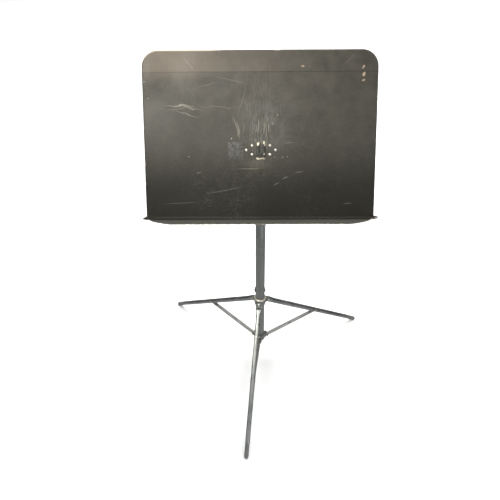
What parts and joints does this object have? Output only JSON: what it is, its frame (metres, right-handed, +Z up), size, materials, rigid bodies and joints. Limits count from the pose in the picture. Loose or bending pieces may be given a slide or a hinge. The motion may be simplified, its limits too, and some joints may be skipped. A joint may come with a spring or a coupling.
{
  "type": "music stand",
  "caption": "Music stand: sheet-steel desk with a ledge on a telescoping column, tilting head, and a folding tripod with a sliding hub and stays.",
  "frame": {"origin": "on the floor, under the middle of the stand's bounding box at rest; the column's axis is at x = -19.1 mm, y = +68.7 mm", "axes": "+Z up along the column; the desk's front faces -Y; +X is to the right as seen from the player's side in front of the desk"},
  "size_m": [0.616, 0.568, 0.9259],
  "materials": {
    "desk_enamel": "worn dark grey-brown satin enamel on sheet steel",
    "plated_tube": "dull grey plating, satin",
    "plated_leg": "worn grey plating, semi-bright",
    "bright_plating": "bright warm plating, lightly pitted",
    "black_plastic": "matte moulded",
    "white_plastic": "natural nylon",
    "foot_grey": "grey vinyl, scuffed"
  },
  "bodies": {
    "column": {"outer_tube": "plated_tube", "tube_end_plug": "black_plastic", "bottom_bracket": "plated_tube", "bracket_rivet": "bright_plating", "clutch_housing": "plated_tube", "clutch_cap": "black_plastic"},
    "hub": {"hub_collar": "plated_tube", "hub_ring": "bright_plating", "leg_pin_front": "bright_plating", "leg_pin_right": "bright_plating", "leg_pin_left": "bright_plating"},
    "lock": {"lock_screw": "bright_plating", "lock_knob": "black_plastic"},
    "leg_front": {"leg_front": "plated_leg", "foot_cap_front": "foot_grey", "stay_top_pin_front": "bright_plating"},
    "leg_right": {"leg_right": "plated_leg", "foot_cap_right": "foot_grey", "stay_top_pin_right": "bright_plating"},
    "leg_left": {"leg_left": "plated_leg", "foot_cap_left": "foot_grey", "stay_top_pin_left": "bright_plating"},
    "stay_front": {"stay_front": "plated_leg", "stay_foot_pin_front": "bright_plating"},
    "stay_right": {"stay_right": "plated_leg", "stay_foot_pin_right": "bright_plating"},
    "stay_left": {"stay_left": "plated_leg", "stay_foot_pin_left": "bright_plating"},
    "swivel": {"friction_bush": "white_plastic"},
    "mast": {"inner_tube": "plated_tube", "inner_tube_guide": "black_plastic", "tilt_head": "plated_tube", "tilt_washer_left": "black_plastic", "tilt_washer_right": "black_plastic"},
    "desk": {"desk_panel": "desk_enamel", "desk_bracket": "plated_tube", "desk_rivet_1": "bright_plating", "desk_rivet_2": "bright_plating", "desk_rivet_3": "bright_plating", "desk_rivet_4": "bright_plating", "desk_rivet_5": "bright_plating", "desk_rivet_6": "bright_plating", "tilt_bolt": "bright_plating"},
    "tilt_knob": {"tilt_knob": "black_plastic"}
  },
  "joints": [
    {"name": "hub_slide", "type": "slide", "parent": "column", "child": "hub", "axis": [0, 0, 1], "range_m": [0, 0.2193]},
    {"name": "lock_knob_turn", "type": "hinge", "parent": "hub", "child": "lock", "pos_m": [-0.01914, 0.10624, 0.2454], "axis": [0, 1, 0], "range_deg": [0, 360]},
    {"name": "leg_front_hinge", "type": "hinge", "parent": "hub", "child": "leg_front", "pos_m": [-0.02182, 0.04489, 0.2413], "axis": [0.9938, -0.1115, 0], "range_deg": [0, 52.49]},
    {"name": "leg_right_hinge", "type": "hinge", "parent": "hub", "child": "leg_right", "pos_m": [0.00285, 0.07835, 0.2413], "axis": [-0.4003, 0.9164, 0], "range_deg": [0, 52.49]},
    {"name": "leg_left_hinge", "type": "hinge", "parent": "hub", "child": "leg_left", "pos_m": [-0.03846, 0.08298, 0.2413], "axis": [-0.5934, -0.8049, 0], "range_deg": [0, 52.49]},
    {"name": "stay_front_hinge", "type": "hinge", "parent": "leg_front", "child": "stay_front", "pos_m": [-0.0403, -0.11986, 0.12072], "axis": [-0.9938, 0.1115, 0], "range_deg": [0, 126.48]},
    {"name": "stay_right_hinge", "type": "hinge", "parent": "leg_right", "child": "stay_right", "pos_m": [0.15477, 0.14472, 0.12072], "axis": [0.4003, -0.9164, 0], "range_deg": [0, 126.48]},
    {"name": "stay_left_hinge", "type": "hinge", "parent": "leg_left", "child": "stay_left", "pos_m": [-0.1719, 0.18136, 0.12072], "axis": [0.5934, 0.8049, 0], "range_deg": [0, 126.48]},
    {"name": "desk_swivel", "type": "hinge", "parent": "column", "child": "swivel", "pos_m": [-0.01914, 0.06874, 0.5743], "axis": [0, 0, 1], "continuous": true},
    {"name": "height_slide", "type": "slide", "parent": "swivel", "child": "mast", "axis": [0, 0, 1], "range_m": [0, 0.4]},
    {"name": "desk_tilt", "type": "hinge", "parent": "mast", "child": "desk", "pos_m": [-0.01914, 0.06874, 0.7363], "axis": [-1, 0, 0], "range_deg": [-29, 60.9]},
    {"name": "tilt_knob_turn", "type": "hinge", "parent": "desk", "child": "tilt_knob", "pos_m": [-0.01914, 0.06874, 0.7363], "axis": [1, 0, 0], "range_deg": [0, 360]}
  ],
  "couplings": [
    {"joint": "leg_front_hinge", "follows": "hub_slide", "rad_per_m": 4.1759},
    {"joint": "leg_right_hinge", "follows": "hub_slide", "rad_per_m": 4.1759},
    {"joint": "leg_left_hinge", "follows": "hub_slide", "rad_per_m": 4.1759},
    {"joint": "stay_front_hinge", "follows": "hub_slide", "rad_per_m": 10.063},
    {"joint": "stay_right_hinge", "follows": "hub_slide", "rad_per_m": 10.063},
    {"joint": "stay_left_hinge", "follows": "hub_slide", "rad_per_m": 10.063}
  ]
}
